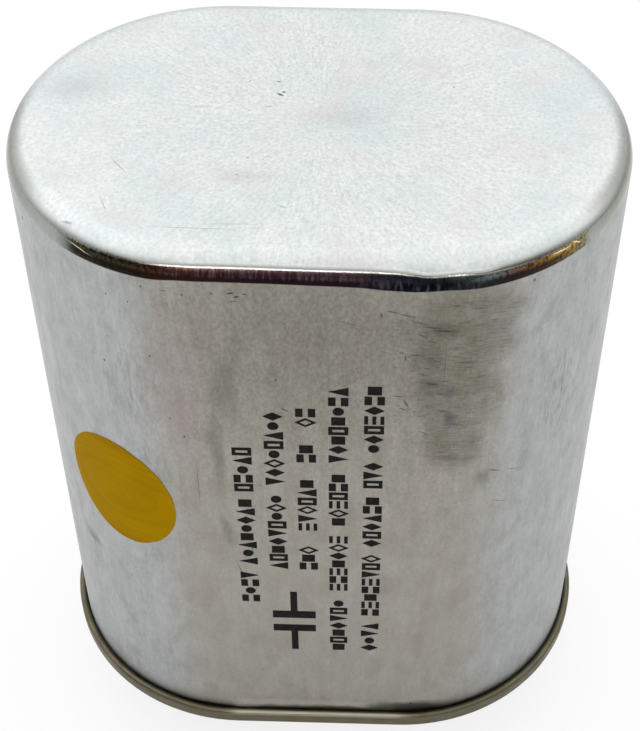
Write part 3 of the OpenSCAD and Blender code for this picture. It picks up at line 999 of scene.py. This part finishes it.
class MakePrint(bpy.types.Operator):
    """Prints five lines of plain marks and a capacitor symbol on the front"""

    bl_idname = "capacitor.print"
    bl_label = "Print"

    def execute(self, context):
        paints = context.scene.capacitor_paint
        ink = printing_ink(paints)
        shapes = self.mark_shapes(paints)
        pitch = paints.glyph_width + paints.glyph_gap
        chance = random.Random(11)
        shape = None
        for number, (across, z, groups, gap) in enumerate(PRINT_LINES, 1):
            copies = []
            place = z * MM
            for group in groups:
                for _ in range(group):
                    shape = chance.choice([other for other in shapes if other is not shape])
                    copies.append(self.copy_mark(shape, across * MM, place + pitch / 2))
                    place += pitch
                place += gap * MM
            self.press(context, copies, f"print_line_{number}", ink)
        for shape in shapes:
            bpy.data.objects.remove(shape)
        self.press(context, [self.symbol()], "print_symbol", ink)
        return {"FINISHED"}

    def copy_mark(self, shape, across, z):
        """One mark at its place on the front, with its own mesh."""
        mark = shape.copy()
        mark.data = shape.data.copy()
        bpy.context.collection.objects.link(mark)
        mark.location = (across, 0, z)
        return mark

    def press(self, context, flat_marks, name, ink):
        """Joins flat marks, lays them on the wall and gives the ink its thickness."""
        paints, sizes = context.scene.capacitor_paint, context.scene.capacitor_can
        choose(*flat_marks)
        if len(flat_marks) > 1:
            bpy.ops.object.join()
        line = bpy.context.object
        line.name = line.data.name = name
        line.location.y = -wall_radius(sizes) - LIFT
        thicken(line, paints.ink_film)
        hand_in(line, ink, "black_ink")

    def mark_shapes(self, paints):
        """The plain shapes that the lines are made of, flat and facing front."""
        tall, wide, stroke = paints.glyph_height, paints.glyph_width, paints.stroke
        return [
            self.plate(tall, wide, hollow=stroke),
            self.plate(tall * 0.7, wide),
            self.plate(tall, wide, point=-1),
            self.plate(tall, wide, point=1),
            self.plate(tall, wide, turned=True),
            self.plate(tall * 1.1, wide * 1.1, turned=True, hollow=stroke * 0.6),
            self.bars(3, tall, wide, stroke),
            self.bars(2, tall, wide, stroke * 1.9),
            self.disc(wide * 0.48),
        ]

    def face_front(self, piece):
        """Turns the flat piece in edit mode to face front, and leaves edit mode."""
        bpy.ops.mesh.select_all(action="SELECT")
        turn_about_origin(-90, "X")
        bpy.ops.mesh.normals_make_consistent(inside=False)
        mesh = bmesh.from_edit_mesh(piece.data)
        mesh.faces.ensure_lookup_table()
        if mesh.faces[0].normal.y > 0:
            bpy.ops.mesh.flip_normals()
        choose()
        return piece

    def plate(self, tall, wide, hollow=0.0, point=0, turned=False):
        """A rectangle, frame, triangle or lozenge; the marks' height runs across the can."""
        piece = start("mark", bpy.ops.mesh.primitive_plane_add, size=1)
        if turned:
            turn_about_origin(45, "Z")
            bpy.ops.transform.resize(value=(math.sqrt(0.5), math.sqrt(0.5), 1))
        bpy.ops.transform.resize(value=(tall, wide, 1))
        if point:
            pick(piece, lambda v: v.co.x * point > 0)
            bpy.ops.mesh.merge(type="CENTER")
        if hollow:
            bpy.ops.mesh.inset(thickness=hollow)
            bpy.ops.mesh.delete(type="FACE")
        return self.face_front(piece)

    def bars(self, count, tall, wide, stroke):
        """Equal bars side by side, spread over the mark."""
        piece = start("mark", bpy.ops.mesh.primitive_plane_add, size=1)
        bpy.ops.transform.resize(value=(stroke, wide, 1))
        bpy.ops.transform.translate(value=((stroke - tall) / 2, 0, 0))
        for _ in range(count - 1):
            step = ((tall - stroke) / (count - 1), 0, 0)
            bpy.ops.mesh.duplicate_move(TRANSFORM_OT_translate={"value": step})
        return self.face_front(piece)

    def disc(self, radius):
        """A round dot."""
        piece = start(
            "mark", bpy.ops.mesh.primitive_circle_add, vertices=20, radius=radius, fill_type="NGON"
        )
        return self.face_front(piece)

    def symbol(self):
        """The plain symbol of a capacitor: two plates and their leads."""
        plate, plate_length, gap, lead = 1.5 * MM, 5.6 * MM, 1.5 * MM, 4.2 * MM
        lead_share = 0.16  # of the plate's length
        piece = start("symbol", bpy.ops.mesh.primitive_plane_add, size=1)
        bpy.ops.transform.resize(value=(plate_length, plate, 1))
        bpy.ops.transform.translate(value=(0, (gap + plate) / 2, 0))
        pick(piece, lambda e: e.verts[0].co.y > gap and e.verts[1].co.y > gap, "edges")
        extrude((0, 0, 0))
        bpy.ops.transform.resize(value=(lead_share, 1, 1))
        extrude((0, lead, 0))
        bpy.ops.mesh.select_all(action="SELECT")
        bpy.ops.mesh.duplicate()
        turn_about_origin(180, "Z")
        bpy.ops.mesh.select_all(action="SELECT")
        bpy.ops.mesh.remove_doubles(threshold=MERGE / 2)
        bpy.ops.mesh.dissolve_degenerate(threshold=MERGE / 2)
        self.face_front(piece)
        piece.location = (SYMBOL_ACROSS * MM, 0, SYMBOL_Z * MM)
        return piece


class MakeStage(bpy.types.Operator):
    """Lays the floor, hangs the soft lights and sets up the camera"""

    bl_idname = "capacitor.stage"
    bl_label = "Stage"

    def execute(self, context):
        stage = context.scene.capacitor_stage
        self.floor(stage)
        self.sky(context.scene)
        self.softbox("back_softbox", (0, 0.30, 0.42), (0.70, 0.45), 0.2, (1.0, 1.0, 1.0))
        self.softbox("left_softbox", (-0.60, 0.05, 0.45), (0.90, 1.10), 1.5, (0.93, 0.97, 1.0))
        self.softbox("right_softbox", (0.60, 0.05, 0.45), (0.60, 0.80), 0.6, (0.95, 0.98, 1.0))
        self.softbox("front_strip", (0, -0.50, 0.38), (0.60, 0.02), 0.25, (1.0, 0.97, 0.92))
        self.camera(context.scene, stage)
        return {"FINISHED"}

    def floor(self, stage):
        floor = start("floor", bpy.ops.mesh.primitive_plane_add, size=6)
        bpy.ops.mesh.subdivide(number_cuts=4)
        settle(floor)
        board, shader, mm = new_material("Matt board", stage.floor_colour, 0.0, 0.9)
        fibres = ("#F1F1F1", noise(mm, (6, 6, 6), detail=3), 0.3)
        feed(shader, {"Base Color": coats(stage.floor_colour, fibres)})
        # The camera sees the board washed out by its own backlight, with a faint shadow left
        tree = board.node_tree
        backlight = node("Emission", {"Color": (1.0, 1.0, 1.0, 1.0), "Strength": 1.0}, tree)
        seen = node("LightPath", tree=tree, output="Is Camera Ray")
        wash = node("MixShader", {0: both(seen, 0.8), 1: shader.outputs[0], 2: backlight})
        feed(tree.nodes["Material Output"], {"Surface": wash})
        floor.data.materials.append(board)

    def sky(self, scene):
        """Pale to the camera; in reflections dim along the front and bright above and behind."""
        world = bpy.data.worlds.new("Studio")
        scene.world = world
        world.use_nodes = True
        tree = world.node_tree
        background = tree.nodes["Background"]
        way = node("TexCoord", tree=tree, output="Generated")
        _, back, up = node("SeparateXYZ", {0: way}).node.outputs
        lit = either(rise(back, -0.55, 0.5), rise(up, 0.42, 0.6))
        dome = coats(linear("#B4B6B8"), ("#FFFFFF", rise(up, 0.0, 0.7), 1.0))
        seen = node("LightPath", tree=tree, output="Is Camera Ray")
        front = linear("#6A655F")
        feed(background, {"Color": coats(layer(front, dome, lit), ("#E8E8E8", seen, 1.0))})
        background.inputs["Strength"].default_value = 1.2

    def softbox(self, name, place, size, power, tint):
        choose()
        bpy.ops.object.light_add(type="AREA", location=place)
        lamp = bpy.context.object
        lamp.name = name
        lamp.data.shape = "RECTANGLE"
        lamp.data.size, lamp.data.size_y = size
        lamp.data.energy = power
        lamp.data.color = tint
        target = Vector((0, 0, TOP / 2))
        lamp.rotation_euler = (target - lamp.location).to_track_quat("-Z", "Y").to_euler()

    def camera(self, scene, stage):
        choose()
        bpy.ops.object.camera_add(location=stage.place)
        camera = bpy.context.object
        turned = Matrix.Rotation(stage.yaw, 3, "Z")
        tipped = Matrix.Rotation(math.pi / 2 - stage.pitch, 3, "X")
        rolled = Matrix.Rotation(stage.roll, 3, "Z")
        camera.rotation_euler = (turned @ tipped @ rolled).to_euler()
        camera.data.lens = stage.focal
        camera.data.shift_x = -0.041
        camera.data.clip_start = 0.01
        scene.camera = camera
        scene.view_settings.view_transform = "Standard"


class CapacitorPanel(bpy.types.Panel):
    """Lists the pieces and the stage in the 3D view's sidebar"""

    bl_idname = "CAPACITOR_PT_pieces"
    bl_label = "Run Capacitor"
    bl_space_type = "VIEW_3D"
    bl_region_type = "UI"
    bl_category = "Capacitor"

    def draw(self, context):
        for operator in OPERATORS:
            self.layout.operator(operator.bl_idname)


OPERATORS = (MakeCan, MakeCover, MakeTerminals, MakePaintDot, MakePrint, MakeStage)
SETTINGS = {
    "capacitor_can": CanSettings,
    "capacitor_paint": PaintSettings,
    "capacitor_cover": CoverSettings,
    "capacitor_stage": StageSettings,
}


def register():
    for group in SETTINGS.values():
        bpy.utils.register_class(group)
    for made in (*OPERATORS, CapacitorPanel):
        bpy.utils.register_class(made)
    for name, group in SETTINGS.items():
        setattr(bpy.types.Scene, name, PointerProperty(type=group))


def unregister():
    for name in SETTINGS:
        delattr(bpy.types.Scene, name)
    for made in (CapacitorPanel, *reversed(OPERATORS)):
        bpy.utils.unregister_class(made)
    for group in SETTINGS.values():
        bpy.utils.unregister_class(group)


def main():
    register()
    bpy.ops.capacitor.can()
    bpy.ops.capacitor.cover()
    bpy.ops.capacitor.terminals()
    bpy.ops.capacitor.paint_dot()
    bpy.ops.capacitor.print()
    bpy.ops.capacitor.stage()


if __name__ == "__main__":
    main()
